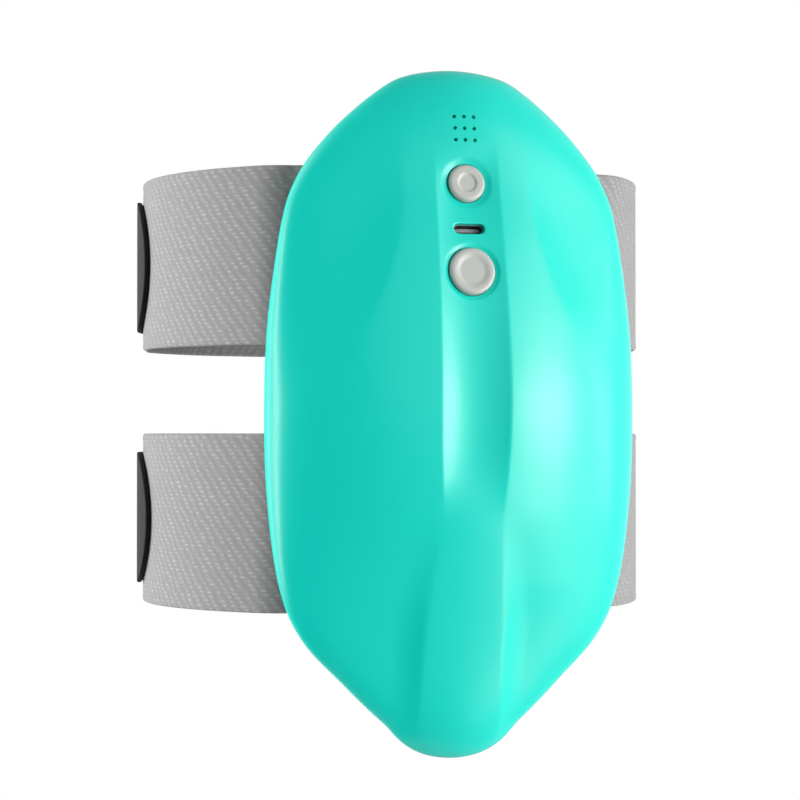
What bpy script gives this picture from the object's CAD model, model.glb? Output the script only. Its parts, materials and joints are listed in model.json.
import json
import math
from itertools import product

import bmesh
import bpy
import numpy as np
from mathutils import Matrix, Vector


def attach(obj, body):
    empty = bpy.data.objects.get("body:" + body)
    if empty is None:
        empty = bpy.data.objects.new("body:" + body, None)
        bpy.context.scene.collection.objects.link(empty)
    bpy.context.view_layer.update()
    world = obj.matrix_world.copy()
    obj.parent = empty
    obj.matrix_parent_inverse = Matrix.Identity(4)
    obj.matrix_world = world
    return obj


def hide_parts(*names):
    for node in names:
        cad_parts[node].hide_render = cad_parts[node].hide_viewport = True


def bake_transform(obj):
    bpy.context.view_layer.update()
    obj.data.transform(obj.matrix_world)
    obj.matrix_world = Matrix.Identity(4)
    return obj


# A calf massager dressed on its CAD frame. Z runs up the leg and -Y is the front.
# Shapes are worked out in millimetres, and meshOf turns them into metres.
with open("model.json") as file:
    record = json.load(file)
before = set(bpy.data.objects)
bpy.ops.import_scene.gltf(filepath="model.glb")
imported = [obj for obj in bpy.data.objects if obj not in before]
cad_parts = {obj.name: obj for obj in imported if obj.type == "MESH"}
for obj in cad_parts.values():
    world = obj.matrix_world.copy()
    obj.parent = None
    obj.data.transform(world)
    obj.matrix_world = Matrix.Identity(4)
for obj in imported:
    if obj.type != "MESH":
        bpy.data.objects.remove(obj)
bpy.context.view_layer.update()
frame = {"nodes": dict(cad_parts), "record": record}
print("frame loaded")


def linearColour(code):  # an sRGB hex value as linear light, opaque
    shares = [int(code[at:at + 2], 16) / 255 for at in (0, 2, 4)]
    return [v / 12.92 if v <= 0.04045 else ((v + 0.055) / 1.055) ** 2.4 for v in shares] + [1.0]


def addNode(tree, kind, inputs=(), **settings):  # one shader node, its sockets set or linked
    node = tree.nodes.new("ShaderNode" + kind)
    for name, value in settings.items():
        setattr(node, name, value)
    for socket, value in dict(inputs).items():
        if isinstance(value, bpy.types.NodeSocket):
            tree.links.new(value, node.inputs[socket])
        else:
            node.inputs[socket].default_value = value
    return node


def emptyTree(owner):  # the node tree of a material or a world, with nothing in it yet
    owner.use_nodes = True
    owner.node_tree.nodes.clear()
    return owner.node_tree


def newMaterial(name, finish):  # a Principled surface, its constants on the shader's own sockets
    material = bpy.data.materials.new(name)
    tree = emptyTree(material)
    shader = addNode(tree, "BsdfPrincipled", finish)
    addNode(tree, "OutputMaterial", {"Surface": shader.outputs["BSDF"]})
    return material, tree, shader, addNode(tree, "TexCoord").outputs["Object"]


def toneAndRelief(tree, shader, colours, share, heightMm, height, invert=False):
    # The share runs from the first colour to the second, and the height is a bump heightMm deep.
    first, second = map(linearColour, colours)
    tone = addNode(tree, "Mix", {"Factor": share, "A": first, "B": second}, data_type="RGBA")
    tree.links.new(tone.outputs["Result"], shader.inputs["Base Color"])
    inputs = {"Height": height, "Strength": 1.0, "Distance": heightMm / 1000}
    relief = addNode(tree, "Bump", inputs, invert=invert)
    tree.links.new(relief.outputs["Normal"], shader.inputs["Normal"])
    return tone.outputs["Result"]


# Plastic with a grain from its mould or its making: an even skin that breaks up the reflection,
# in two near tones that reach cloudMm.
def grainedPlastic(name, colours, roughness, grainMm, heightMm, cloudMm=30, detail=3.0, gloss=0.5):
    finish = {"Roughness": roughness, "IOR": 1.5, "Specular IOR Level": gloss}
    material, tree, shader, place = newMaterial(name, finish)
    inputs = {"Vector": place, "Scale": 1000 / grainMm, "Detail": detail}
    grain = addNode(tree, "TexNoise", inputs).outputs["Fac"]
    inputs = {"Vector": place, "Scale": 1000 / cloudMm, "Detail": 2.0}
    cloud = addNode(tree, "TexNoise", inputs).outputs["Fac"]
    toneAndRelief(tree, shader, colours, cloud, heightMm, grain)
    return material


# Metal as it comes from the tool: fine parallel marks along one axis that stretch the highlight
# across them.
def toolMarkedMetal(name, colours, roughness, marksMm, heightMm):
    smoother, rougher = roughness - 0.06, roughness + 0.1
    material, tree, shader, place = newMaterial(name, {"Roughness": roughness, "Metallic": 1.0})
    stretched = addNode(tree, "Mapping", {"Vector": place, "Scale": [1000 / mm for mm in marksMm]})
    inputs = {"Vector": stretched.outputs["Vector"], "Scale": 1.0, "Detail": 3.0}
    marks = addNode(tree, "TexNoise", inputs).outputs["Fac"]
    gloss = addNode(tree, "MapRange", {"Value": marks, "To Min": smoother, "To Max": rougher})
    tree.links.new(gloss.outputs["Result"], shader.inputs["Roughness"])
    toneAndRelief(tree, shader, colours, marks, heightMm, marks)
    return material


# Knitted elastic webbing: light grey covered yarn over rubber. Short bright floats lie in rows
# across the webbing, each row a little further along, so that they line up on steep diagonals.
def knittedElastic():
    look = dict(
        ground="878787", float="b4b4b4", rowMm=1.2, repeatMm=3.4, shiftMm=0.97, heightMm=0.1,
        wanderMm=3.2, wander=2.5, patchMm=1.9, patch=(0.36, 0.66, 0.95), yarnMm=0.35, yarn=0.4,
        rib=0.15, floatPower=1.8,
    )
    finish = {
        "Roughness": 0.85, "IOR": 1.45, "Specular IOR Level": 0.25,
        "Sheen Weight": 0.2, "Sheen Roughness": 0.5,
    }
    material, tree, shader, place = newMaterial("knitted_elastic", finish)
    along = addNode(tree, "UVMap", uv_map="length_and_width").outputs["UV"]
    noise = {}
    for part, detail in (("wander", 1.0), ("patch", 2.0), ("yarn", 1.0)):
        inputs = {"Vector": place, "Scale": 1000 / look[part + "Mm"], "Detail": detail}
        noise[part] = addNode(tree, "TexNoise", inputs).outputs["Fac"]
    inputs = {"Value": noise["wander"], "To Min": -look["wander"], "To Max": look["wander"]}
    wander = addNode(tree, "MapRange", inputs).outputs["Result"]
    repeat, row = [2000 * math.pi / look[name] for name in ("repeatMm", "rowMm")]
    waves = []
    for way in ((repeat, repeat * look["shiftMm"] / look["rowMm"], 0), (0, row, 0)):
        turn = addNode(tree, "VectorMath", {0: along, 1: way}, operation="DOT_PRODUCT")
        turn = addNode(tree, "Math", {0: turn.outputs["Value"], 1: wander}, operation="ADD")
        wave = addNode(tree, "Math", {0: turn.outputs[0]}, operation="SINE")
        inputs = {"Value": wave.outputs[0], "From Min": -1.0}
        waves.append(addNode(tree, "MapRange", inputs).outputs["Result"])
    low, high, most = look["patch"]
    inputs = {"Value": noise["patch"], "From Min": low, "From Max": high, "To Max": most}
    uneven = addNode(tree, "MapRange", inputs).outputs["Result"]
    raised = waves[0]
    steps = (("MULTIPLY", waves[1]), ("POWER", look["floatPower"]), ("MULTIPLY", uneven))
    for operation, value in steps:
        raised = addNode(tree, "Math", {0: raised, 1: value}, operation=operation).outputs[0]
    for part, share in ((waves[0], look["rib"]), (noise["yarn"], look["yarn"])):
        inputs = {0: part, 1: share, 2: raised}
        raised = addNode(tree, "Math", inputs, operation="MULTIPLY_ADD").outputs[0]
    colours = (look["ground"], look["float"])
    toneAndRelief(tree, shader, colours, raised, look["heightMm"], raised)
    return material


# Moulded nylon hook tape: a matt near-black field of tiny hooks, drawn coarser than they are, with
# a cut edge that goes quite black because the light gets lost between the hooks there.
def hookTape():
    look = dict(colours=("343435", "252526"), edge="020202", hookMm=1.1, heightMm=0.1)
    finish = {"Roughness": 0.75, "Specular IOR Level": 0.3}
    material, tree, shader, place = newMaterial("nylon_hook_tape", finish)
    inputs = {"Vector": place, "Scale": 1000 / look["hookMm"]}
    hooks = addNode(tree, "TexVoronoi", inputs).outputs["Distance"]
    field = toneAndRelief(tree, shader, look["colours"], hooks, look["heightMm"], hooks, True)
    edge = addNode(tree, "Attribute", attribute_name="cut_edge").outputs["Fac"]
    inputs = {"Factor": edge, "A": field, "B": linearColour(look["edge"])}
    tone = addNode(tree, "Mix", inputs, data_type="RGBA").outputs["Result"]
    tree.links.new(tone, shader.inputs["Base Color"])
    return material


# For each slot the name, the two colours, the roughness, and the grain's size and depth in mm.
plastics = {
    # Injection-moulded ABS from a polished mould, a clear gloss over one even turquoise, with a
    # trace of flow marks, and only a soft ripple for a grain.
    "turquoise_abs": (
        "moulded_turquoise_abs", ("12ddcb", "10d7c5"), 0.27, 2.4, 0.003, 45, 1.0, 0.36,
    ),
    # Spark-eroded ABS, even and matt, and a finer satin on the buttons.
    "grey_abs": ("grained_grey_abs", ("cfceca", "c4c3bf"), 0.48, 0.5, 0.012),
    "button_abs": ("satin_greige_abs", ("c0c3bd", "b9bcb6"), 0.4, 0.4, 0.004),
    # Compression-moulded silicone, soft and dull, with no sharp highlight.
    "silicone": ("matt_silicone", ("b4b5b3", "a8a9a7"), 0.6, 0.8, 0.01),
    # Cast polyimide, a clear amber with a smooth sheen.
    "polyimide_film": ("amber_polyimide_film", ("c07a2c", "a5621c"), 0.3, 3, 0.01),
    # Printed solder mask, a green lacquer that ripples over the tracks.
    "circuit_board": ("solder_masked_board", ("1c5a38", "174a2e"), 0.35, 1.2, 0.02),
    # Moulded nylon, near black and half matt.
    "black_plastic": ("moulded_black_nylon", ("26272a", "1e1f21"), 0.5, 0.5, 0.01),
    # Cut foam, whose open pores swallow the light.
    "foam": ("open_cell_foam", ("444546", "2c2d2e"), 0.95, 0.7, 0.2),
    # A shrunk sleeve, tight and glossy with long ripples.
    "battery_wrap": ("heat_shrunk_battery_wrap", ("7d8fa6", "71839a"), 0.32, 6, 0.03),
    # Extruded insulation, drawn smooth, with a soft gloss.
    "wire": ("extruded_wire_insulation", ("b5352f", "a42d28"), 0.4, 2, 0.005),
}
# The same for metals, with the size of a mark along X, Y and Z in place of the grain.
metals = {
    # Rolled aluminium, pale with long rolling lines.
    "aluminium_sheet": ("rolled_aluminium", ("cfd1d3", "b9bbbe"), 0.35, (0.4, 0.4, 30), 0.002),
    # Drawn and plated steel, bright, with thin bands round it.
    "steel": ("plated_steel", ("c9cbce", "aeb0b4"), 0.28, (6, 0.3, 6), 0.002),
    # Turned brass, warm, with fine lathe lines.
    "brass_weight": ("turned_brass", ("c8aa6a", "b09352"), 0.3, (0.3, 4, 4), 0.003),
    # Nickel from a satin bath, a soft grey that catches light in a wide lobe inside the socket.
    "nickel": ("satin_nickel_plate", ("a6a6a8", "9a9a9d"), 0.85, (3, 0.2, 3), 0.001),
}
finishes = {
    "elastic_webbing": knittedElastic(),
    "hook_tape": hookTape(),
    **{slot: grainedPlastic(*look) for slot, look in plastics.items()},
    **{slot: toolMarkedMetal(*look) for slot, look in metals.items()},
}
print("materials ready")


def smooth(t):  # 3t^2 - 2t^3 with t held between 0 and 1: a step with level ends
    held = np.clip(t, 0, 1)
    return held * held * (3 - 2 * held)


def together(*parts):  # arrays broadcast and set side by side, as the coordinates of points are
    return np.stack(np.broadcast_arrays(*parts), axis=-1)


def onCircle(radius, turn):  # [r cos t, r sin t]
    return together(radius * np.cos(turn), radius * np.sin(turn))


def quarterRound(radius, degrees):  # how far in, r (1 - sin), and down, r (1 - cos), an edge goes
    bends = np.radians(degrees)
    return radius * (1 - np.sin(bends)), radius * (1 - np.cos(bends))


def wholeTurn(sides):  # equal angles all the way round
    return np.arange(sides) * 2 * np.pi / sides


def atDepth(outline, y):  # an outline of [x, z] points as [x, y, z]
    return np.insert(outline, 1, y, axis=1)


def gridFaces(rows, columns, closeRows=False, closeColumns=False):
    # Each quad joins a point with its next neighbours.
    row = np.arange(rows - 1 + closeRows)[:, None]
    column = np.arange(columns - 1 + closeColumns)
    nextRow, nextColumn = (row + 1) % rows, (column + 1) % columns
    corners = [(row, column), (row, nextColumn), (nextRow, nextColumn), (nextRow, column)]
    return together(*(r * columns + c for r, c in corners)).reshape(-1, 4)


def tubeSolid(front, back):
    # A row's loop is its front points and then its back points in reverse, closed at both end rows.
    rows, columns = front.shape[:2]
    loops = np.concatenate([front, back[:, ::-1]], axis=1)
    faces = gridFaces(rows, 2 * columns, closeColumns=True)
    at = np.arange(columns - 1)
    mirrored = 2 * columns - 1 - at
    cap = together(at + 1, at, mirrored, mirrored - 1)
    last = cap[:, ::-1] + (rows - 1) * 2 * columns
    return loops.reshape(-1, 3), np.concatenate([faces, cap, last])


def ringSolid(rings):
    # Rings of equal count, each end closed with a fan to the ring's middle.
    count, around = rings.shape[:2]
    poles = np.stack([rings[0].mean(axis=0), rings[-1].mean(axis=0)])
    points = np.concatenate([rings.reshape(-1, 3), poles])
    here = np.arange(around)
    after = (here + 1) % around
    first = together(count * around, after, here)
    end = (count - 1) * around
    last = together(count * around + 1, end + here, end + after)
    sides = gridFaces(count, around, closeColumns=True)
    return points, sides.tolist() + first.tolist() + last.tolist()


def lathe(profile, sides):  # a profile of [radius, y] turned about Y: x = r cos t, z = r sin t
    turn = wholeTurn(sides)
    return ringSolid(np.stack([atDepth(onCircle(radius, turn), y) for radius, y in profile]))


def meshOf(name, points, faces):
    # A mesh in metres whose faces point outwards, found from the sign of its volume.
    mesh = bpy.data.meshes.new(name)
    loops = faces if isinstance(faces, list) else faces.tolist()
    mesh.from_pydata(points * 0.001, [], loops)
    solid = bmesh.new()
    solid.from_mesh(mesh)
    if solid.calc_volume(signed=True) < 0:
        bmesh.ops.reverse_faces(solid, faces=solid.faces)
    solid.to_mesh(mesh)
    solid.free()
    return mesh


def addObject(name, data):
    item = bpy.data.objects.new(name, data)
    bpy.context.scene.collection.objects.link(item)
    return item


def newPiece(name, shape, slot, replaced=(), body="housing", finish=None, sharp=35):
    # A piece that is smooth up to a sharp angle in degrees, with its finish, slot and body.
    mesh = shape if isinstance(shape, bpy.types.Mesh) else meshOf(name, *shape)
    mesh.polygons.foreach_set("use_smooth", np.ones(len(mesh.polygons), bool))
    mesh.set_sharp_from_angle(angle=math.radians(sharp))
    mesh.materials.append(finishes[finish or slot])
    piece = addObject(name, mesh)
    if body:
        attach(piece, body)
    if replaced:
        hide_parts(*replaced)
    return piece


def carved(name, shape, cutters):
    # The shape less each cutter, by exact Boolean modifiers that are then applied.
    whole = addObject(name, meshOf(name, *shape))
    tools = []
    for at, cutter in enumerate(cutters):
        tool = addObject(f"{name}_cutter_{at}", meshOf("cutter", *cutter))
        cut = whole.modifiers.new("cut", "BOOLEAN")
        cut.operation, cut.solver, cut.object = "DIFFERENCE", "EXACT", tool
        tools.append(tool)
    bpy.context.view_layer.update()
    finished = whole.evaluated_get(bpy.context.evaluated_depsgraph_get())
    result = bpy.data.meshes.new_from_object(finished)
    for spare in [whole, *tools]:
        bpy.data.objects.remove(spare)
    return result


# The controls stand on a plane that leans in the face. Its frame starts at the charging mouth.
controls = dict(
    y=-76.7004, z=51.9, lean=math.radians(11.2161), power=13.154, mode=-12.332, speaker=28.866,
)
cosLean, sinLean = math.cos(controls["lean"]), math.sin(controls["lean"])


def fromControls(x, inwards, up):
    # World points: y = y0 + inwards cos + up sin, z = z0 - inwards sin + up cos.
    y = controls["y"] + inwards * cosLean + up * sinLean
    return together(x, y, controls["z"] - inwards * sinLean + up * cosLean)


def toControls(x, y, z):  # the same turned round: inwards = dy cos - dz sin, up = dy sin + dz cos
    dy, dz = y - controls["y"], z - controls["z"]
    return x, dy * cosLean - dz * sinLean, dy * sinLean + dz * cosLean


shell = dict(
    halfHeight=98, halfWidth=55.1, tip=0.3, rim=60, land=1.2, crown=24.2, wall=2, chamfer=0.25,
    section=(1.9, 0.62), endPower=22, groove=10.1, grooveDepth=2.2, narrow=26,
    rows=((-89, 24.5, 1.0), (25.2, 89.5, 0.8)), columns=(19, 16, 60, 1.7),
    petal=dict(at=36, step=2.9, flank=17, round=0.5, fade=4),
    keel=dict(at=12.3, step=3.1, flank=8.5, round=0.3, fade=2),
)
# Each table gives [height, share] from the bottom at -1 to the top at 1.
shellTables = dict(
    outline=[
        (-1, 0), (-0.985, 0.165), (-0.95, 0.272), (-0.89, 0.377), (-0.775, 0.592), (-0.66, 0.789),
        (-0.56, 0.887), (-0.42, 0.949), (-0.2, 0.991), (0, 1), (0.22, 0.989), (0.42, 0.948),
        (0.6, 0.888), (0.7, 0.81), (0.8, 0.672), (0.885, 0.515), (0.94, 0.39), (0.975, 0.285),
        (1, 0),
    ],
    spine=[
        (-1, 0.24), (-0.9, 0.36), (-0.67, 0.53), (-0.45, 0.72), (-0.25, 0.89), (0.02, 1),
        (0.25, 0.935), (0.45, 0.8), (0.65, 0.63), (0.85, 0.5), (1, 0.36),
    ],
    grooveWidths=[
        (-1, 0.8), (-0.36, 0.86), (-0.1, 0.98), (0.05, 1), (0.42, 0.96), (0.75, 0.92), (1, 0.9),
    ],
    grooveDepths=[
        (-1, 0), (-0.33, 0), (-0.26, 0.2), (-0.15, 0.78), (0, 1), (0.25, 0.86), (0.4, 0.6),
        (0.66, 0.54), (0.78, 0), (1, 0),
    ],
    petalWidths=[
        (-1, 1.2), (-0.1, 1.2), (0.12, 1), (0.23, 0.878), (0.4, 0.667), (0.58, 0.533),
        (0.755, 0.517), (1, 0.4),
    ],
    petalSteps=[
        (-1, 0), (0, 0), (0.1, 0.2), (0.25, 0.7), (0.42, 1), (0.58, 0.85), (0.7, 0.4), (0.84, 0),
        (1, 0),
    ],
    keelWidths=[
        (-1, 1), (-0.9, 1), (-0.66, 0.976), (-0.55, 0.945), (-0.4, 0.8), (-0.28, 0.7), (1, 0.7),
    ],
    keelSteps=[
        (-1, 0.25), (-0.92, 0.75), (-0.75, 1), (-0.6, 0.85), (-0.48, 0.45), (-0.36, 0.15),
        (-0.26, 0), (1, 0),
    ],
)
# Each hole stands at [across, up] in the controls' frame and is half [width, height] of a
# round-ended slot. Its box is half the patch that it takes out of the grid.
buttonHole = dict(fillet=0.35, recess=0.45)
shellHoles = [
    dict(buttonHole, at=(0, controls["power"]), half=(5.55, 5.55), box=(8.3, 8.3), reach=2.2),
    dict(buttonHole, at=(0, controls["mode"]), half=(6.9, 6.9), box=(9.2, 8.7), reach=1.6),
    dict(at=(0, 0), half=(4.56, 1.45), box=(5.5, 2.4), fillet=0.3, recess=0.15, reach=0.6),
]
speakerHole = dict(half=(0.55, 0.55), box=(0.75, 0.8), fillet=0.1, recess=0, reach=1)
speakerPitch = (2.85, 3.4)
for row, column in product((-1, 0, 1), repeat=2):
    place = (speakerPitch[0] * column, controls["speaker"] + speakerPitch[1] * row)
    shellHoles.append(dict(speakerHole, at=place))


def profileThrough(table, power=1, spread=0.012):
    # A cubic through the table's values, raised to a power, with mean slopes, blurred by a narrow
    # bell curve, and then brought back to the first power.
    steps = 2000
    places = np.linspace(-1, 1, 2 * steps + 1)
    knots, values = np.array(table, float).T
    values = values ** power
    here, last = np.arange(len(knots)), len(knots) - 1
    before, after = np.maximum(here - 1, 0), np.minimum(here + 1, last)
    slopes = (values[after] - values[before]) / (knots[after] - knots[before])
    at = np.clip(np.searchsorted(knots, places, side="right") - 1, 0, last - 1)
    span = knots[at + 1] - knots[at]
    t = (places - knots[at]) / span
    start = values[at] * (1 + 2 * t) * (1 - t) ** 2 + slopes[at] * span * t * (1 - t) ** 2
    end = values[at + 1] * t * t * (3 - 2 * t) + slopes[at + 1] * span * t * t * (t - 1)
    reach = steps // 10
    bell = np.exp(-0.5 * (np.arange(-reach, reach + 1) / (spread * steps)) ** 2)
    padded = np.pad(start + end, reach, mode="reflect", reflect_type="odd")
    blurred = np.convolve(padded, bell / bell.sum(), mode="valid")
    return lambda height: np.interp(height, places, np.maximum(blurred, 0)) ** (1 / power)


shellOutline = profileThrough(shellTables.pop("outline"), power=2, spread=0.006)
shellCurves = {name: profileThrough(table) for name, table in shellTables.items()}


def halfWidthAt(z):  # the outline's share of the half width, never less than the tip
    share = shellOutline(z / shell["halfHeight"])
    return np.maximum(shell["halfWidth"] * share, shell["tip"])


def fallAway(past, rounded, flank):
    # Past a soft corner the surface drops 1 - (1 - t)^2: steep at first, then level.
    started = (past + np.sqrt(past ** 2 + rounded ** 2)) / 2
    return 1 - (1 - np.clip(started / flank, 0, 1)) ** 2


def faceDepth(x, z):
    # A dome over the outline less three reliefs: the groove is a parabola between its edges, and
    # the petals and the keel end at a soft corner past which the surface falls away. All of them
    # fade at the ends.
    height = z / shell["halfHeight"]
    across = np.clip(np.abs(x) / halfWidthAt(z), 0, 1)
    bulge, fullness = shell["section"]
    section = (1 - across ** bulge) ** fullness
    ends = np.sqrt(np.clip(1 - np.abs(height) ** shell["endPower"], 0, 1))
    dome = (shell["crown"] * shellCurves["spine"](height) - shell["land"]) * section
    grooveWidth = shell["groove"] * shellCurves["grooveWidths"](height)
    inGroove = np.maximum(0, 1 - (x / grooveWidth) ** 2)
    proud = dome - shell["grooveDepth"] * shellCurves["grooveDepths"](height) * inGroove
    for name in ("petal", "keel"):
        form = shell[name]
        past = np.abs(x) - form["at"] * shellCurves[name + "Widths"](height)
        fallen = fallAway(past, form["round"], form["flank"])
        step = form["step"] * shellCurves[name + "Steps"](height)
        proud = proud - step * fallen * (1 - across ** form["fade"])
    return shell["rim"] + shell["land"] + proud * ends


def faceHeight(x, up):
    # The height of the face at [x, up] in the controls' frame, by repeating
    # z = z0 + (up - dy sin) / cos.
    z = controls["z"] + up
    for _ in range(8):
        y = -faceDepth(x, z)
        z = controls["z"] + (up - (y - controls["y"]) * sinLean) / cosLean
    return z


def slotRadius(half, turn):  # from a round-ended slot's middle to its outline at an angle
    flat = half[0] - half[1]
    across, up = np.abs(np.cos(turn)), np.abs(np.sin(turn))
    side = half[1] / np.maximum(up, 1e-9)
    end = flat * across + np.sqrt(np.maximum(half[1] ** 2 - (flat * up) ** 2, 0))
    return np.where(side * across <= flat, side, end)


def nearEnd(share, last, count, power):  # heights that crowd towards the tip by a power
    return shell["halfHeight"] * (1 - share * np.linspace(1, last, count) ** power)


def shellRows():  # 0.8 mm apart among the controls, 1 mm below, and ever closer towards the ends
    end = nearEnd(0.0816, 0.02, 15, 2.2)
    return np.concatenate([-end[::-1], *(np.arange(*span) for span in shell["rows"]), end])


def shellColumns(z):
    # Even steps each side of the middle, one of them on the groove's edge, and then steps that
    # shrink to the rim by a power.
    even, onEdge, shrinking, power = shell["columns"]
    width = halfWidthAt(z)[:, None]
    groove = shellCurves["grooveWidths"](z / shell["halfHeight"])[:, None]
    inner = even / onEdge * shell["groove"] * groove * np.minimum(1, width / shell["narrow"])
    left = 1 - np.arange(1, shrinking + 1) / shrinking
    outer = inner + (width - inner) * (1 - left ** power)
    middle = inner * np.linspace(-1, 1, 2 * even + 1)
    return np.concatenate([-outer[:, ::-1], middle, outer], axis=1)


def holeRings(hole, x, z, backPoints):
    # From the box's border over the recess, round the fillet, down the wall and out to the back's
    # border.
    across, _, up = toControls(x, -faceDepth(x, z), z)
    fillet, dx, dup = hole["fillet"], across - hole["at"][0], up - hole["at"][1]
    turn, border = np.arctan2(dup, dx), np.hypot(dx, dup)
    edge = slotRadius(hole["half"], turn)
    rings = []
    for share in (np.arange(9, -1, -1) / 10) ** 1.5:
        radius = edge + fillet + (border - edge - fillet) * share
        ringX, ringUp = (hole["at"] + onCircle(radius, turn)).T
        height = faceHeight(ringX, ringUp)
        _, face, _ = toControls(ringX, -faceDepth(ringX, height), height)
        sunk = hole["recess"] * (1 - smooth((radius - edge) / hole["reach"]))
        rings.append(fromControls(ringX, face + sunk, ringUp))
    for inset, drop in zip(*quarterRound(fillet, [30, 60, 90])):
        ringX, ringUp = (hole["at"] + onCircle(edge + inset, turn)).T
        rings.append(fromControls(ringX, face + sunk + drop, ringUp))
    foot = fromControls(ringX, face + shell["wall"], ringUp)
    rings += [foot + (backPoints - foot) * share for share in (0, 0.3, 0.65)]
    return np.stack(rings)


def frontShell():
    # The face and the same face a wall's thickness behind it, with a chamfered rim and the holes.
    z = shellRows()
    x = shellColumns(z)
    z = np.repeat(z[:, None], x.shape[1], axis=1)
    y = -faceDepth(x, z)
    width = halfWidthAt(z)
    wall, chamfer, rim, tall = [shell[name] for name in ("wall", "chamfer", "rim", "halfHeight")]
    narrower = (width - np.minimum(wall, width / 2)) / width
    back = together(x * narrower, np.minimum(y + wall, -rim), z * (1 - wall / tall))
    face = together(x, y, z)
    low, lip = face[:, [0, -1]].copy(), back[:, [0, -1]].copy()
    low[..., 1] = -rim - chamfer
    lip[..., 0] = low[..., 0] * (1 - chamfer / width[:, [0, -1]])
    lip[..., 2] = low[..., 2] * (1 - chamfer / tall)
    front = np.concatenate([low[:, :1], face, low[:, 1:]], axis=1)
    back = np.concatenate([lip[:, :1], back, lip[:, 1:]], axis=1)
    points, faces = tubeSolid(front, back)
    loop = 2 * front.shape[1]
    keep = np.ones(len(faces), bool)
    pointParts, faceParts, count = [points], [], len(points)
    for hole in shellHoles:
        # The box's quads come out of both faces, and rings join the two borders through the wall.
        (middleX, middleUp), (halfX, halfZ) = hole["at"], hole["box"]
        middle = faceHeight(middleX, middleUp)
        r0 = np.searchsorted(z[:, 0], middle - halfZ, side="right") - 1
        r1 = np.searchsorted(z[:, 0], middle + halfZ)
        across = front[(r0 + r1) // 2, :, 0]
        c0 = np.searchsorted(across, middleX - halfX, side="right") - 1
        c1 = np.searchsorted(across, middleX + halfX)
        r, c = np.arange(r0, r1)[:, None], np.arange(c0, c1)
        keep[r * loop + c] = False
        keep[r * loop + loop - 2 - c] = False
        border = [(r0, k) for k in range(c0, c1)] + [(k, c1) for k in range(r0, r1)]
        border += [(r1, k) for k in range(c1, c0, -1)] + [(k, c0) for k in range(r1, r0, -1)]
        r, c = np.array(border).T
        rings = holeRings(hole, front[r, c, 0], front[r, c, 2], back[r, c])
        own = count + np.arange(rings.shape[0] * rings.shape[1]).reshape(rings.shape[:2])
        every = np.concatenate([[r * loop + c], own, [r * loop + loop - 1 - c]])
        after = np.roll(every, -1, axis=1)
        faceParts.append(together(every[:-1], after[:-1], after[1:], every[1:]).reshape(-1, 4))
        pointParts.append(rings.reshape(-1, 3))
        count += len(pointParts[-1])
    return np.concatenate(pointParts), np.concatenate([faces[keep], *faceParts])


newPiece("moulded_front_shell", frontShell(), "turquoise_abs", ["front_shell"], sharp=40)
print("front shell made")


# Where the straps lie, and how far each bar stands from the middle and to the front.
strapHeights = dict(upper=45.0016, lower=-30.9974)
barAt = (35, 54)
cover = dict(
    inset=0.8, front=59.7, land=1.5, rise=9.5, edge=9,
    pocket=(28.3, 62.3, 16), pocketDepth=57.1, pocketMouth=30, mouth=20, through=70,
    bay=(31.1, 57, 57.9), bayHalf=26.0, barHole=1.6, barLug=2.2,
    rows=(-85, 85.5, 1.4), columns=91, crowding=1.5,
    screws=((-21, 72), (21, 72), (-19, -76), (19, -76)), seat=57.4, headRoom=2.9, shankRoom=1.5,
)


def coverDepth(x, z):
    # 1.5 mm of land at the rim, then 8 mm more along two quarter waves to the level middle.
    fromSide = np.clip((halfWidthAt(z) - np.abs(x)) / cover["edge"], 0, 1)
    fromEnd = np.clip((shell["halfHeight"] - np.abs(z)) / cover["edge"], 0, 1)
    rise = np.sin(fromSide * np.pi / 2) * np.sin(fromEnd * np.pi / 2)
    return cover["front"] - cover["land"] - (cover["rise"] - cover["land"]) * rise


def cornerArc(halfWidth, halfHeight, corner, count):  # a rectangle's rounded corner at [+, +]
    turn = np.linspace(0, np.pi / 2, count)
    return [halfWidth - corner, halfHeight - corner] + onCircle(corner, turn)


def roundedBox(halfWidth, halfHeight, corner, low, high, count):  # its outline carried along Y
    arc = cornerArc(halfWidth, halfHeight, corner, count)
    outline = np.concatenate([arc, arc[::-1] * [-1, 1], -arc, arc[::-1] * [1, -1]])
    return ringSolid(np.stack([atDepth(outline, y) for y in (low, high)]))


def plainBox(low, high):  # eight corners and six faces
    corners = np.array(list(product(*zip(low, high))), float)
    sides = [[0, 1, 3, 2], [4, 6, 7, 5], [0, 4, 5, 1], [2, 3, 7, 6], [0, 2, 6, 4], [1, 5, 7, 3]]
    return corners, sides


def rodAlong(axis, radius, low, high, at, sides=32):
    # A round bar along Y or Z through two other coordinates.
    points, faces = lathe([(radius, low), (radius, high)], sides)
    if axis == "z":
        points = points[:, [0, 2, 1]] * [1, -1, 1]
        return points + [at[0], at[1], 0], faces
    return points + [at[0], 0, at[1]], faces


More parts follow.
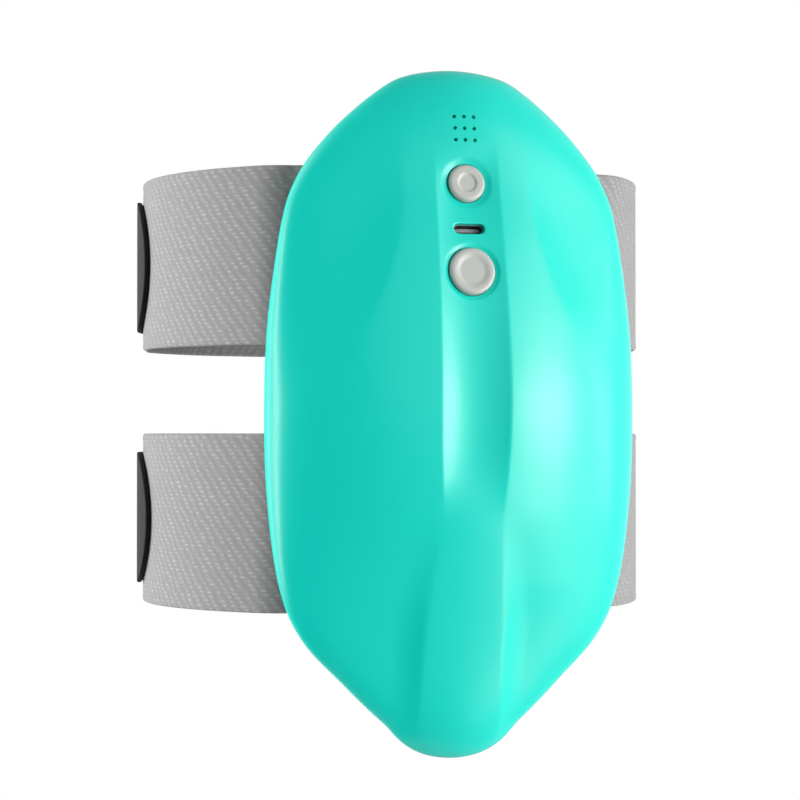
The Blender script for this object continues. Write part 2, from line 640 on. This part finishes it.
def rearCover():
    # Rows and columns crowd towards the rim, and the pocket, bays, bar holes and screw holes are
    # carved out.
    end = nearEnd(0.12, 0.03, 22, 1.8)
    z = np.concatenate([-end[::-1], np.arange(*cover["rows"]), end])
    width = halfWidthAt(z)[:, None]
    share = np.linspace(-1, 1, cover["columns"])
    x = width * np.sign(share) * (1 - (1 - np.abs(share)) ** cover["crowding"])
    z = np.repeat(z[:, None], x.shape[1], axis=1)
    inset, mouth = cover["inset"], -cover["mouth"]
    placeX = x * (width - np.minimum(inset, width / 2)) / width
    placeZ = z * (1 - inset / shell["halfHeight"])
    back = together(placeX, -coverDepth(x, z), placeZ)
    front = together(placeX, -cover["front"], placeZ)
    cutters = [roundedBox(*cover["pocket"], -cover["pocketDepth"], -cover["pocketMouth"], 24)]
    near, far, bayDepth = cover["bay"]
    for height, side in product(strapHeights.values(), (-1, 1)):
        low, high = height - cover["bayHalf"], height + cover["bayHalf"]
        left, right = sorted([side * near, side * far])
        cutters.append(plainBox((left, -bayDepth, low), (right, mouth, high)))
        bar = (side * barAt[0], -barAt[1])
        lug = cover["barLug"]
        cutters.append(rodAlong("z", cover["barHole"], low - lug, high + lug, bar))
    for place in cover["screws"]:
        cutters.append(rodAlong("y", cover["shankRoom"], -cover["through"], mouth, place))
        cutters.append(rodAlong("y", cover["headRoom"], -cover["seat"], mouth, place, 48))
    return carved("rear_cover_body", tubeSolid(back, front), cutters)


newPiece("moulded_rear_cover", rearCover(), "grey_abs", ["rear_cover"], sharp=30)
print("rear cover made")


pad = dict(
    half=(28, 62), corner=16, front=55, edge=52, land=7, hollow=60, round=1.4,
    node=5.5, nodeRise=2.2, nodePower=1.4, column=17.5, rows=(-48, -24, 0, 24, 48),
)


def cushionOutline(halfWidth, halfHeight, corner):
    # Quarter circles joined by evenly split straight sides.
    arc = cornerArc(halfWidth, halfHeight, corner, 40)
    across, up = halfWidth - corner, halfHeight - corner
    top = together(np.linspace(across, -across, 24)[1:-1], halfHeight)
    side = together(-halfWidth, np.linspace(up, -up, 60)[1:-1])
    half = np.concatenate([arc, top, arc[::-1] * [-1, 1], side])
    return np.concatenate([half, -half])


def padPoints():
    # Level down the middle, hollow on each side of it, with a dome at each node and a quarter-round
    # rim, where the rings lie closer.
    outline = cushionOutline(*pad["half"], pad["corner"])
    rim = [0.955, 0.968, 0.978, 0.986, 0.992, 0.997, 1]
    share = np.concatenate([np.linspace(0, 0.94, 66)[1:], rim])
    x, z = np.moveaxis(outline * share[:, None, None], -1, 0)
    past = np.maximum(0, np.abs(x) - pad["land"])
    depth = pad["edge"] - pad["hollow"] + np.sqrt(pad["hollow"] ** 2 - past ** 2)
    for row in pad["rows"]:
        near = np.hypot(np.abs(x) - pad["column"], z - row) / pad["node"]
        depth = depth - pad["nodeRise"] * np.clip(1 - near ** 2, 0, 1) ** pad["nodePower"]
    rounded = pad["round"]
    inside = np.hypot(*outline.T) - np.hypot(x, z)
    depth = depth + rounded - np.sqrt(rounded ** 2 - np.clip(rounded - inside, 0, rounded) ** 2)
    face = together(x, -depth, z)
    foot = [atDepth(outline * share, -pad["front"])[None] for share in (1, 0.5, 0.1)]
    return ringSolid(np.concatenate([face, *foot]))


padPiece = newPiece("silicone_contact_pad", padPoints(), "silicone", ["contact_pad"])
print("contact pad made")

foam = dict(half=(15.5, 21.5), corner=2.5, middle=-11.0, low=-61.0, high=-60.0, round=0.25)
gasket = dict(inner=6.2, outer=8.0, front=2.156, back=2.956, round=0.2, sides=96)


def foamSlab():
    # Rings of one outline: the front face, its rounded rim, then the same in reverse for the back.
    outline = cushionOutline(*foam["half"], foam["corner"])
    size = np.hypot(*outline.T)[:, None]
    insets, drops = quarterRound(foam["round"], np.arange(0, 91, 18))
    flat = np.linspace(0.95, 0.1, 14)
    insets, drops = np.concatenate([size.min() * flat, insets]), np.concatenate([0 * flat, drops])
    front = zip(insets, foam["low"] + drops)
    back = zip(insets[::-1], foam["high"] - drops[::-1])
    rings = [atDepth(outline * (1 - inset / size), y) for inset, y in (*front, *back)]
    return ringSolid(np.stack(rings) + [0, 0, foam["middle"]])


def foamRing():  # a section with four quarter-round corners turned about the speaker's axis
    bends = np.radians(np.arange(0, 91, 15))
    turn = wholeTurn(gasket["sides"])
    section = []
    for side, face, outwards, deeper in (
        ("outer", "back", 1, 1), ("inner", "back", -1, 1),
        ("inner", "front", -1, -1), ("outer", "front", 1, -1),
    ):
        arc = gasket["round"] * (onCircle(1, bends[::outwards * deeper]) - 1)
        section.append([gasket[side], gasket[face]] + arc * [outwards, deeper])
    rings = [atDepth(onCircle(radius, turn), y) for radius, y in np.concatenate(section)]
    points = np.concatenate(rings) + [0, 0, controls["speaker"]]
    return fromControls(*points.T), gridFaces(len(rings), gasket["sides"], True, True)


for name, shape, node in (
    ("battery_foam_pad", foamSlab(), "battery_foam"),
    ("speaker_foam_ring", foamRing(), "speaker_gasket"),
):
    newPiece(name, shape, "foam", [node])
print("foam made")


buttons = {
    "power": dict(radius=5.4, dish=2.6, dishEdge=1.1),
    "mode": dict(radius=6.75, dish=4.3, dishEdge=1.9),
}
cap = dict(
    inwards=0.016, proud=0.95, round=1.15, dishDepth=0.42, flangeAt=2.8, flange=1.2,
    flangeThick=1, stem=1.6, stemEnd=4.6, tip=0.05, sides=96,
)


def buttonCap(button, up):
    # Level with a sunk middle, a quarter-round shoulder, then the side, the flange and the stem.
    radius, top, rounded = button["radius"], cap["inwards"] - cap["proud"], cap["round"]
    reach = np.linspace(cap["tip"], radius - rounded, 40)
    dish = cap["dishDepth"] * (1 - smooth((reach - button["dish"]) / button["dishEdge"] + 0.5))
    profile = list(zip(reach, top + dish))
    insets, drops = quarterRound(rounded, np.arange(10, 91, 10))
    profile += list(zip(radius - insets, top + drops))
    flangeAt = cap["inwards"] + cap["flangeAt"]
    flangeEnd = flangeAt + cap["flangeThick"]
    flange = radius + cap["flange"]
    stem, stemEnd = cap["stem"], cap["stemEnd"]
    profile += [(radius, flangeAt), (flange, flangeAt), (flange, flangeEnd)]
    profile += [(stem, flangeEnd), (stem, stemEnd), (cap["tip"], stemEnd)]
    points, faces = lathe(profile, cap["sides"])
    return fromControls(*(points + [0, 0, up]).T), faces


for name, button in buttons.items():
    shape = buttonCap(button, controls[name])
    newPiece(f"{name}_button_cap", shape, "button_abs", [f"{name}_button"], f"{name}_key", sharp=50)


def slotTube(half, section, sides):
    # A round-ended slot's outline carried along a section of [inset, inwards] steps.
    turn = wholeTurn(sides)
    rings = []
    for inset, inwards in section:
        outline = onCircle(slotRadius((half[0] - inset, half[1] - inset), turn), turn)
        rings.append(atDepth(outline, inwards))
    points, faces = ringSolid(np.stack(rings))
    return fromControls(*points.T), faces


socket = dict(half=(4.44, 1.4), wall=0.25, mouth=1.4, back=8.7, floor=8.0, round=0.12, sides=96)
tongue = dict(half=(3.9, 0.55), front=2.7, base=7.9, round=0.2, sides=64)
sleeve = dict(half=(4.0, 0.72), front=5.2, round=0.1)
contact = dict(count=12, width=0.3, pitch=0.5, length=1.8, setBack=0.5, sunk=0.7, proud=0.05)


def socketShell():  # outside, lip, inside and floor
    wall, lip, mouth = socket["wall"], socket["round"], socket["mouth"]
    section = [(0, socket["back"]), (0, mouth + lip), (lip, mouth), (wall - lip, mouth)]
    section += [(wall, mouth + lip), (wall, socket["floor"])]
    return slotTube(socket["half"], section, socket["sides"])


def slabAlong(slab):  # a round-ended slab with a rounded nose
    insets, drops = quarterRound(slab["round"], [0, 30, 60, 90])
    section = [*zip(insets, slab["front"] + drops), (0, tongue["base"])]
    return slotTube(slab["half"], section, tongue["sides"])


def contactPads():  # a row of small boxes on both faces of the tongue, joined as one mesh
    points, faces = [], []
    front, half = tongue["front"] + contact["setBack"], contact["width"] / 2
    for side, step in product((-1, 1), range(contact["count"])):
        x = (step - (contact["count"] - 1) / 2) * contact["pitch"]
        thick = tongue["half"][1]
        low, high = sorted([side * thick * contact["sunk"], side * (thick + contact["proud"])])
        box, loops = plainBox((x - half, front, low), (x + half, front + contact["length"], high))
        faces += [[corner + 8 * len(points) for corner in loop] for loop in loops]
        points.append(fromControls(*box.T))
    return np.concatenate(points), faces


newPiece("drawn_usb_c_socket", socketShell(), "steel", ["usb_c_socket"])
newPiece("moulded_usb_c_tongue", slabAlong(tongue), "steel", ["usb_c_tongue"], finish="nickel")
newPiece("usb_c_contact_pads", contactPads(), "brass_weight", sharp=30)
newPiece("usb_c_tongue_sleeve", slabAlong(sleeve), "steel", finish="nickel", sharp=40)


screw = dict(
    seat=-57.1, head=2.6, rise=1.6, side=0.35, shank=1.2, length=6.5, slot=(0.42, 1.9, 0.9),
    threads=12, pitch=0.5, threadDepth=0.18, neck=0.4, tip=0.02, crown=0.05, sides=48,
)


def screwAt(name, x, z):
    # A zigzag of threads, a neck and a domed head, turned about Y, less the two slots of a cross.
    seat, head, rise, side = [screw[part] for part in ("seat", "head", "rise", "side")]
    bends = np.radians(np.arange(0, 86, 8))
    dome = zip(head * np.cos(bends), seat + rise * (side + (1 - side) * np.sin(bends)))
    k = np.arange(screw["threads"])[::-1]
    shank, top = screw["shank"] - screw["threadDepth"] * (k % 2), seat + rise
    threads = zip(shank, seat - screw["neck"] - screw["pitch"] * k)
    profile = [(screw["tip"], seat - screw["length"]), *threads, (screw["shank"], seat)]
    profile += [(head, seat), *dome, (screw["crown"], top)]
    points, faces = lathe(profile, screw["sides"])
    half, reach, depth = screw["slot"]
    cross = [
        plainBox((x - a, top - depth, z - b), (x + a, top + 1, z + b))
        for a, b in ((half, reach), (reach, half))
    ]
    return carved(name, (points + [x, 0, z], faces), cross)


corners = ("upper_left", "upper_right", "lower_left", "lower_right")
for name, place in zip(corners, cover["screws"]):
    shape = screwAt(name, *place)
    newPiece(f"{name}_cross_screw", shape, "steel", [f"{name}_housing_screw"])
print("buttons, socket and screws made")


# Radii and degrees are those of the loop round the leg, from +X towards +Y.
strap = dict(
    half=25.4, middle=74.5, lifted=76.6, lead=222, underEnd=128, lift=(114, 126), step=1.0,
    sewn=0.9, wrap=2.7, clear=-45.5, turnStep=0.7, rightPoints=278,
    tuck=[(-46.0, -53.0), (-43.0, -52.75), (-40.0, -52.2), (-37.6, -51.55)],
    outwards=[(-37.6, -56.55), (-41.2, -55.95)], handles=[(-37.7, -54.0), (-43.7, -54.88)], leave=8,
)
# Half thicknesses, and places measured in from the webbing's edge: a flat field, a dip, and then a
# corded selvedge with a rounded edge.
web = dict(
    field=0.84, cord=0.06, cordAt=2.6, cordWidth=0.8, dip=0.07, dipAt=2.5, dipWidth=0.35,
    edge=0.9, thinnest=0.04, flatEnd=3.2, flatPoints=24, cordPoints=(2.8, 2.4, 2.0, 1.6, 1.2),
    edgeDegrees=(0, 25, 45, 62, 78, 88),
)
tailEnds = dict(upper=151.5, lower=152.8)
tab = dict(inner=75.7, thick=1.5, length=40.3, half=19.8, round=0.5, corner=3, gap=0.3, heart=0.42)


def distancesAlong(line):  # how far each point lies along the line
    return np.concatenate([[0], np.cumsum(np.hypot(*np.diff(line, axis=0).T))])


def strapRoot():
    # Left side: an end tucked in behind the strap, half a turn round the bar, then a Bezier curve
    # out to the loop.
    bar = -np.array(barAt)
    ring = bar + onCircle(strap["wrap"], np.radians(np.arange(90, -91, -10)))
    t = np.linspace(0, 1, 40)[:, None]
    end = onCircle(strap["middle"], np.radians(strap["lead"]))
    away = np.array([-end[1], end[0]]) / strap["middle"]
    handles = [*np.array(strap["handles"]), end + away * strap["leave"], end]
    weights = enumerate(zip((1, 3, 3, 1), handles))
    curve = sum(c * h * t ** k * (1 - t) ** (3 - k) for k, (c, h) in weights)
    curve = curve[curve[:, 0] < strap["clear"]]
    return np.concatenate([strap["tuck"], ring, strap["outwards"], curve[:-1]])


def strapLine(root, degrees, radius):
    # The root and then the loop, smoothed by a Catmull-Rom piece between each pair of points, and
    # resampled at equal distances along itself.
    line = np.concatenate([root, onCircle(radius, np.radians(degrees))])
    padded = np.concatenate([2 * line[:1] - line[1:2], line, 2 * line[-1:] - line[-2:-1]])
    a, b, c, d = padded[:-3], padded[1:-2], padded[2:-1], padded[3:]
    t = np.linspace(0, 1, 9)[:-1, None, None]
    square, cube = 2 * a - 5 * b + 4 * c - d, 3 * b - a - 3 * c + d
    curve = 0.5 * (2 * b + (c - a) * t + square * t ** 2 + cube * t ** 3)
    line = np.concatenate([curve.transpose(1, 0, 2).reshape(-1, 2), line[-1:]])
    done = distancesAlong(line)
    places = np.linspace(0, done[-1], int(done[-1] / strap["step"]) + 1)
    return together(*(np.interp(places, done, line[:, k]) for k in (0, 1)))


def bandSolid(line, height):
    # Each point of the line carries the webbing's section on both of its faces.
    half, edge = strap["half"], web["edge"]
    rounded = half - edge + edge * np.sin(np.radians(web["edgeDegrees"]))
    selvedge = half - np.array(web["cordPoints"])
    field = np.linspace(0, half - web["flatEnd"], web["flatPoints"])
    across = np.concatenate([field, selvedge, rounded])
    across = np.concatenate([-across[:0:-1], across])
    fromEdge = np.abs(across) - half
    past = np.clip((fromEdge + edge) / edge, 0, 1)
    thick = web["field"] + web["cord"] * smooth((fromEdge + web["cordAt"]) / web["cordWidth"])
    thick = thick - web["dip"] * np.exp(-((fromEdge + web["dipAt"]) / web["dipWidth"]) ** 2)
    thick = np.maximum(thick * np.sqrt(1 - past ** 2), web["thinnest"])
    tangent = np.gradient(line, axis=0)
    tangent /= np.hypot(*tangent.T)[:, None]
    x, y = line.T[:, :, None]
    outX, outY = tangent[:, 1, None], -tangent[:, 0, None]
    sides = [
        together(x + sign * thick * outX, y + sign * thick * outY, across + height)
        for sign in (1, -1)
    ]
    done = distancesAlong(line)
    flat = together(done[:, None], across)
    flat = np.concatenate([flat, flat[:, ::-1]], axis=1).reshape(-1, 2)
    return tubeSolid(*sides), flat, done[-1]


def strapPiece(name, line, height, replaced, turned):
    # The webbing on a line, with its own length and width as its UV map.
    shape, flat, length = bandSolid(line, height)
    piece = newPiece(name, shape, "elastic_webbing", replaced, body=None, sharp=60)
    if turned:
        flat = flat * [-1, 1]
    corners = np.empty(len(piece.data.loops), np.int32)
    piece.data.loops.foreach_get("vertex_index", corners)
    layer = piece.data.uv_layers.new(name="length_and_width")
    layer.data.foreach_set("uv", (flat[corners] * 0.001).ravel())
    return piece


def leftLine():  # to its free end under the tail
    degrees = np.arange(strap["lead"], strap["underEnd"], -strap["turnStep"])
    return strapLine(strapRoot(), degrees, strap["middle"])


def rightLine(tailEnd):
    # The mirror of the left at its root, and then lifted over the left strap's end. It runs 0.6 mm
    # into the hook tab's near edge, where the two are sewn together.
    last = tailEnd + math.degrees(strap["sewn"] / strap["lifted"])
    degrees = np.linspace(180 - strap["lead"], last, strap["rightPoints"])
    low, high = strap["lift"]
    rise = (strap["lifted"] - strap["middle"]) * smooth((degrees - low) / (high - low))
    return strapLine(strapRoot() * [-1, 1], degrees, strap["middle"] + rise)


for name, height in strapHeights.items():
    replaced = [f"{name}_strap_left"]
    left = strapPiece(f"{name}_knitted_strap_left", leftLine(), height, replaced, True)
    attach(left, "housing")
    replaced = [f"{name}_strap_right", f"{name}_strap_tail"]
    line = rightLine(tailEnds[name])
    right = strapPiece(f"{name}_knitted_strap_right", line, height, replaced, False)
    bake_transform(right)
print("straps made")


def tabShape(tailEnd, height):
    # An outline with one round end, drawn along the loop and carried on its radius, with rounded
    # rims. Each ring also says how much of its colour is that of the cut edge.
    half, corner, radius = tab["half"], tab["corner"], tab["inner"] + tab["thick"] / 2
    start = math.radians(tailEnd) + tab["gap"] / radius
    bend = tab["length"] - half
    nose = [bend, 0] + onCircle(half, np.radians(np.linspace(90, -90, 61)))
    lower = together(np.linspace(bend, corner, 20)[1:], -half)
    arc = [corner, corner - half] + onCircle(corner, np.radians(np.arange(-100, -180, -10)))
    side = together(0, np.linspace(corner - half, 0, 30))
    lowHalf = np.concatenate([lower, arc, side])
    outline = np.concatenate([nose, lowHalf, (lowHalf[:-1] * [1, -1])[::-1][:-1]])
    middle = np.array([tab["length"] * tab["heart"], 0])
    away = outline - middle
    reach = np.hypot(*away.T)
    flat = [(reach * inset, 1.0, 0.0) for inset in np.linspace(0.98, 0.06, 24)]
    insets, drops = quarterRound(tab["round"], np.arange(0, 91, 18))
    drops = drops / tab["thick"]
    rim = list(zip(insets, 1 - drops, (0, 0, 0.4, 1, 1, 1)))
    rim += [(inset, drop, 1.0) for inset, drop in zip(insets[::-1], drops[::-1])]
    rings, edges = [], []
    for inset, rise, edge in flat + rim + [(inset, 0.0, 0.0) for inset, _, _ in flat[::-1]]:
        along, up = (middle + away * ((reach - inset) / reach)[:, None]).T
        ring = onCircle(tab["inner"] + tab["thick"] * rise, start + along / radius)
        rings.append(np.column_stack([ring, height + up]))
        edges.append(np.full(len(outline), edge))
    return ringSolid(np.stack(rings)), np.concatenate([*edges, [0.0, 0.0]])


for name, height in strapHeights.items():
    shape, edges = tabShape(tailEnds[name], height)
    body, tabName = f"{name}_tail", f"{name}_sewn_hook_tab"
    piece = newPiece(tabName, shape, "hook_tape", [f"{name}_hook_tab"], body, sharp=50)
    piece.data.attributes.new("cut_edge", "FLOAT", "POINT").data.foreach_set("value", edges)
print("hook tabs made")


for entry in frame["record"]["subparts"]:
    surface = frame["nodes"][entry["node"]].data.materials
    surface.clear()
    surface.append(finishes[entry["material_slot"]])
print("frame parts dressed")


scene = bpy.context.scene
scene.view_settings.view_transform = "Standard"
view = dict(
    place=(-0.24150, -0.78991, -0.00515), aim=(0.00309, -0.00094, 0.00468), lens=121, sensor=36,
)
camera = addObject("camera", bpy.data.cameras.new("camera"))
camera.location = view["place"]
gaze = Vector(view["aim"]) - Vector(view["place"])
camera.rotation_euler = gaze.to_track_quat("-Z", "Y").to_euler()
camera.data.lens = view["lens"]
camera.data.sensor_width = view["sensor"]
scene.camera = camera

# Each lamp's azimuth in degrees from the front towards +X, its height and distance in metres, and
# the width, height and radiance of its face.
lamps = {
    "key_softbox": (44, 0.0, 1.1, 0.4, 0.4, 12.6),
    "key_above": (40, 0.35, 1.1, 0.4, 0.5, 2.2),
    "key_below": (40, -0.35, 1.1, 0.4, 0.5, 3.2),
    "key_halo": (48, 0.0, 1.15, 1.2, 1.2, 1.95),
    "low_halo": (45, -0.5, 1.15, 1.2, 0.8, 0.5),
    "front_fill": (5, 0.2, 1.2, 0.9, 0.9, 0.65),
    "left_strip": (-86, 0.0, 0.9, 0.22, 0.9, 11.5),
    "upper_left_strip": (-84, 0.75, 0.9, 0.3, 0.6, 2.6),
    "back_left_strip": (-112, 0.0, 0.9, 0.4, 0.9, 3.9),
    "upper_back_left_strip": (-112, 0.75, 0.9, 0.4, 0.6, 4.4),
    "right_strip": (73, 0.02, 0.9, 0.22, 0.5, 3.2),
}
for name, (azimuth, height, distance, wide, tall, radiance) in lamps.items():
    light = bpy.data.lights.new(name, "AREA")
    light.shape = "ELLIPSE"
    light.size, light.size_y = wide, tall
    light.energy = radiance * math.pi * math.pi / 4 * wide * tall  # radiance times pi times area
    item = addObject(name, light)
    turn = math.radians(azimuth)
    item.location = (distance * math.sin(turn), -distance * math.cos(turn), height)
    item.rotation_euler = (-item.location).to_track_quat("-Z", "Y").to_euler()

# Light from behind and above falls on matt surfaces, and glossy ones mirror a glow behind and at
# the right. Each goes along one axis from [start, strength] to [end, strength].
surround = {
    "behind": ("Y", (0.0, 0.0), (0.5, 0.65), "SMOOTHSTEP"),
    "right": ("X", (-0.6, 0.0), (1.0, 1.25), "LINEAR"),
    "above": ("Z", (-0.7, 0.0), (0.4, 0.14), "LINEAR"),
}
world = bpy.data.worlds.new("studio")
scene.world = world
tree = emptyTree(world)
path = addNode(tree, "LightPath").outputs
sky = {"Vector": addNode(tree, "TexCoord").outputs["Generated"]}
sky = addNode(tree, "SeparateXYZ", sky).outputs
glow = {}
for name, (axis, start, end, kind) in surround.items():
    inputs = dict(zip(("From Min", "To Min", "From Max", "To Max"), start + end), Value=sky[axis])
    glow[name] = addNode(tree, "MapRange", inputs, interpolation_type=kind).outputs["Result"]
mirrored, matt, glossy = [
    addNode(tree, "Math", {0: first, 1: second}, operation="MAXIMUM").outputs[0]
    for first, second in (
        (path["Is Glossy Ray"], path["Is Transmission Ray"]),
        (glow["behind"], glow["above"]),
        (glow["behind"], glow["right"]),
    )
]
lit = addNode(tree, "Mix", {"Factor": mirrored, "A": matt, "B": glossy}).outputs["Result"]
seen = addNode(tree, "Mix", {"Factor": path["Is Camera Ray"], "A": lit, "B": 1.0}).outputs["Result"]
background = addNode(tree, "Background", {"Color": (1, 1, 1, 1), "Strength": seen})
addNode(tree, "OutputWorld", {"Surface": background.outputs["Background"]})

# A white floor well below the object: it shows white to the camera at its edge and keeps the
# object's shadow.
ground = dict(radius=0.5, height=-0.9, fadeFrom=0.2, colour="f2f2f2", sides=96)
floorMaterial = bpy.data.materials.new("white_floor")
tree = emptyTree(floorMaterial)
place = addNode(tree, "TexCoord").outputs["Object"]
reach = addNode(tree, "VectorMath", {0: place, 1: (1, 1, 0)}, operation="MULTIPLY")
reach = addNode(tree, "VectorMath", {0: reach.outputs[0]}, operation="LENGTH").outputs["Value"]
inputs = {"Value": reach, "From Min": ground["fadeFrom"], "From Max": ground["radius"]}
fade = addNode(tree, "MapRange", inputs, interpolation_type="SMOOTHSTEP").outputs["Result"]
paint = addNode(tree, "BsdfDiffuse", {"Color": linearColour(ground["colour"])}).outputs[0]
white = addNode(tree, "Emission", {"Color": (1, 1, 1, 1), "Strength": 1.0}).outputs[0]
path = addNode(tree, "LightPath").outputs
inputs = {0: path["Is Camera Ray"], 1: path["Is Glossy Ray"]}
shown = addNode(tree, "Math", inputs, operation="MAXIMUM").outputs[0]
share = addNode(tree, "Math", {0: fade, 1: shown}, operation="MULTIPLY").outputs[0]
mixed = addNode(tree, "MixShader", {0: share, 1: paint, 2: white}).outputs[0]
addNode(tree, "OutputMaterial", {"Surface": mixed})
disc = onCircle(ground["radius"], wholeTurn(ground["sides"]))
mesh = bpy.data.meshes.new("floor")
mesh.from_pydata(np.insert(disc, 2, ground["height"], axis=1), [], [list(range(len(disc)))])
mesh.materials.append(floorMaterial)
floor = addObject("floor", mesh)
print("camera, lamps and surroundings set")
